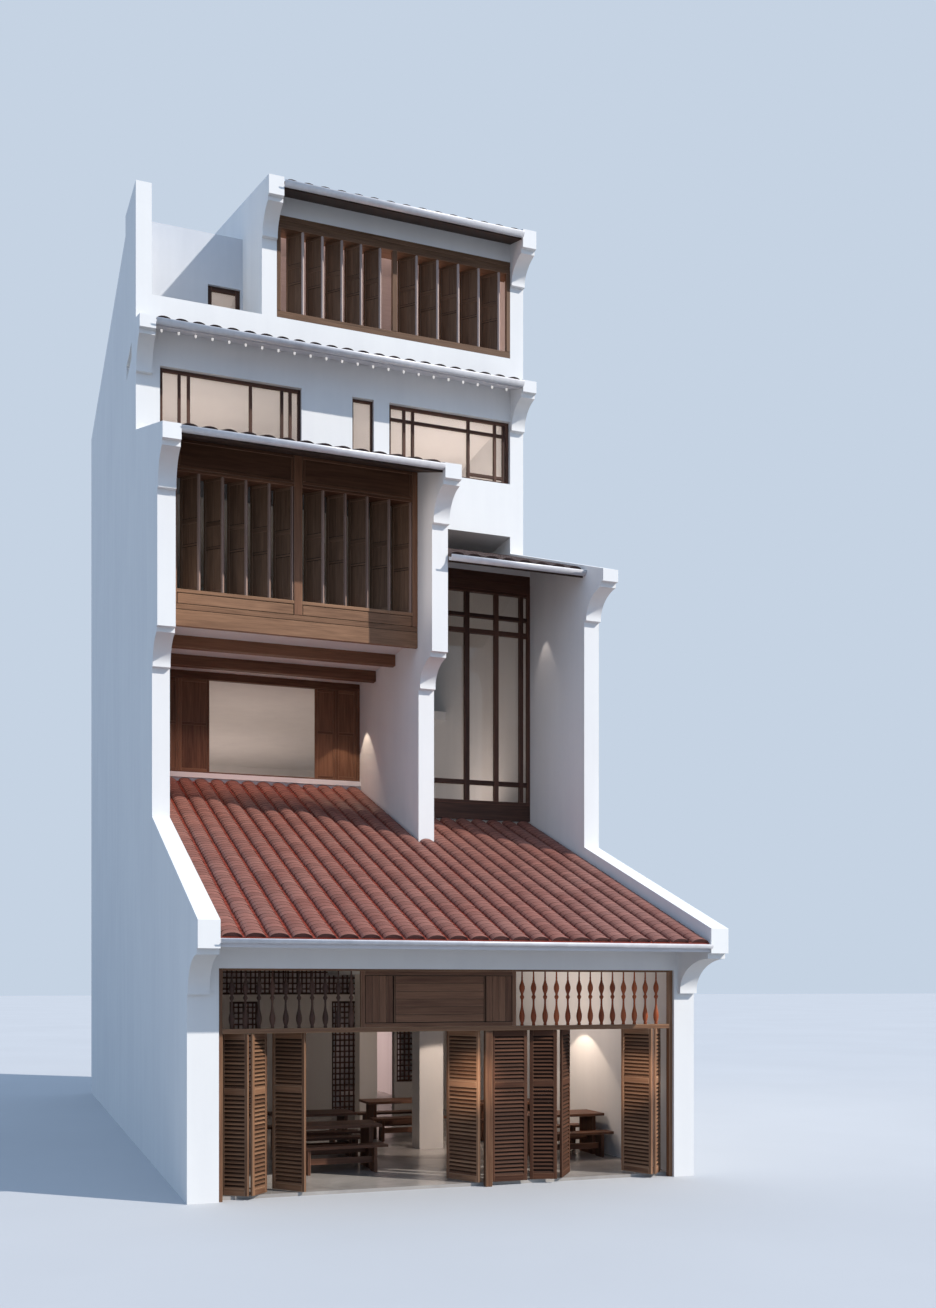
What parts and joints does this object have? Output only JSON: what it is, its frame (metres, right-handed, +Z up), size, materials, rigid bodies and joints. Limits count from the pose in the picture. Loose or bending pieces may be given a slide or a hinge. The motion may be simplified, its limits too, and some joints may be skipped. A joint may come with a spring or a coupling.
{
  "type": "townhouse",
  "caption": "Row house with a timber shopfront, stepped tiled roofs between corbelled party walls, and pivoting timber blade screens.",
  "frame": {"origin": "on the ground at the centre of the footprint between the outer faces of the walls", "axes": "+X to the right and +Y to the back as seen from the street, +Z up"},
  "size_m": [8.06, 21.248, 21.4145],
  "materials": {
    "white_render": "smooth painted render",
    "inner_render": "smooth warm white render",
    "floor_concrete": "polished concrete",
    "dark_timber": "stained and oiled timber",
    "furniture_timber": "waxed timber",
    "roof_deck": "dark stained boards",
    "soffit_paint": "painted boards",
    "roof_tile": "unglazed clay",
    "gutter_metal": "satin paint",
    "window_glass": "clear glass"
  },
  "bodies": {
    "root": {"box_blades": "dark_timber", "box_screen_frame": "dark_timber", "centre_folding_leaves": "dark_timber", "dining_benches": "furniture_timber", "dining_tables": "furniture_timber", "eave_gutters": "gutter_metal", "fifth_floor_slab": "white_render", "flat_roof_slab": "white_render", "fourth_floor_parapet": "white_render", "fourth_floor_piers": "white_render", "fourth_floor_sill_wall": "white_render", "fourth_floor_slab": "white_render", "fourth_window_frames": "dark_timber", "fourth_window_glass": "window_glass", "ground_door_frame": "dark_timber", "ground_floor_slab": "floor_concrete", "ground_front_beam": "white_render", "ground_front_jambs": "white_render", "hall_cross_piers": "inner_render", "hall_cross_wall": "inner_render", "hall_lattices": "dark_timber", "hall_piers": "inner_render", "left_folding_leaves": "dark_timber", "left_party_wall": "white_render", "lower_roof_deck": "soffit_paint", "lower_roof_tiles": "roof_tile", "mid_party_wall": "white_render", "rear_wall": "white_render", "rear_window_frames": "dark_timber", "rear_window_glass": "window_glass", "recess_shelf": "inner_render", "right_folding_leaves": "dark_timber", "right_party_wall": "white_render", "second_floor_shutters": "dark_timber", "second_floor_sill_wall": "white_render", "second_floor_slab": "white_render", "second_floor_window_frame": "dark_timber", "soffit_beams": "dark_timber", "tall_window_frame": "dark_timber", "tall_window_glass": "window_glass", "tall_window_head_wall": "white_render", "terrace_back_wall": "white_render", "terrace_door": "dark_timber", "terrace_glass": "window_glass", "terrace_side_wall": "white_render", "third_floor_slab": "white_render", "top_blades": "dark_timber", "top_front_beam": "white_render", "top_gable_wall": "white_render", "top_roof_deck": "roof_deck", "top_roof_ridge": "roof_tile", "top_roof_tiles": "roof_tile", "top_screen_frame": "dark_timber", "transom_balusters": "dark_timber", "transom_panel": "dark_timber", "upper_roof_decks": "roof_deck", "upper_roof_tiles": "roof_tile"}
  },
  "joints": []
}
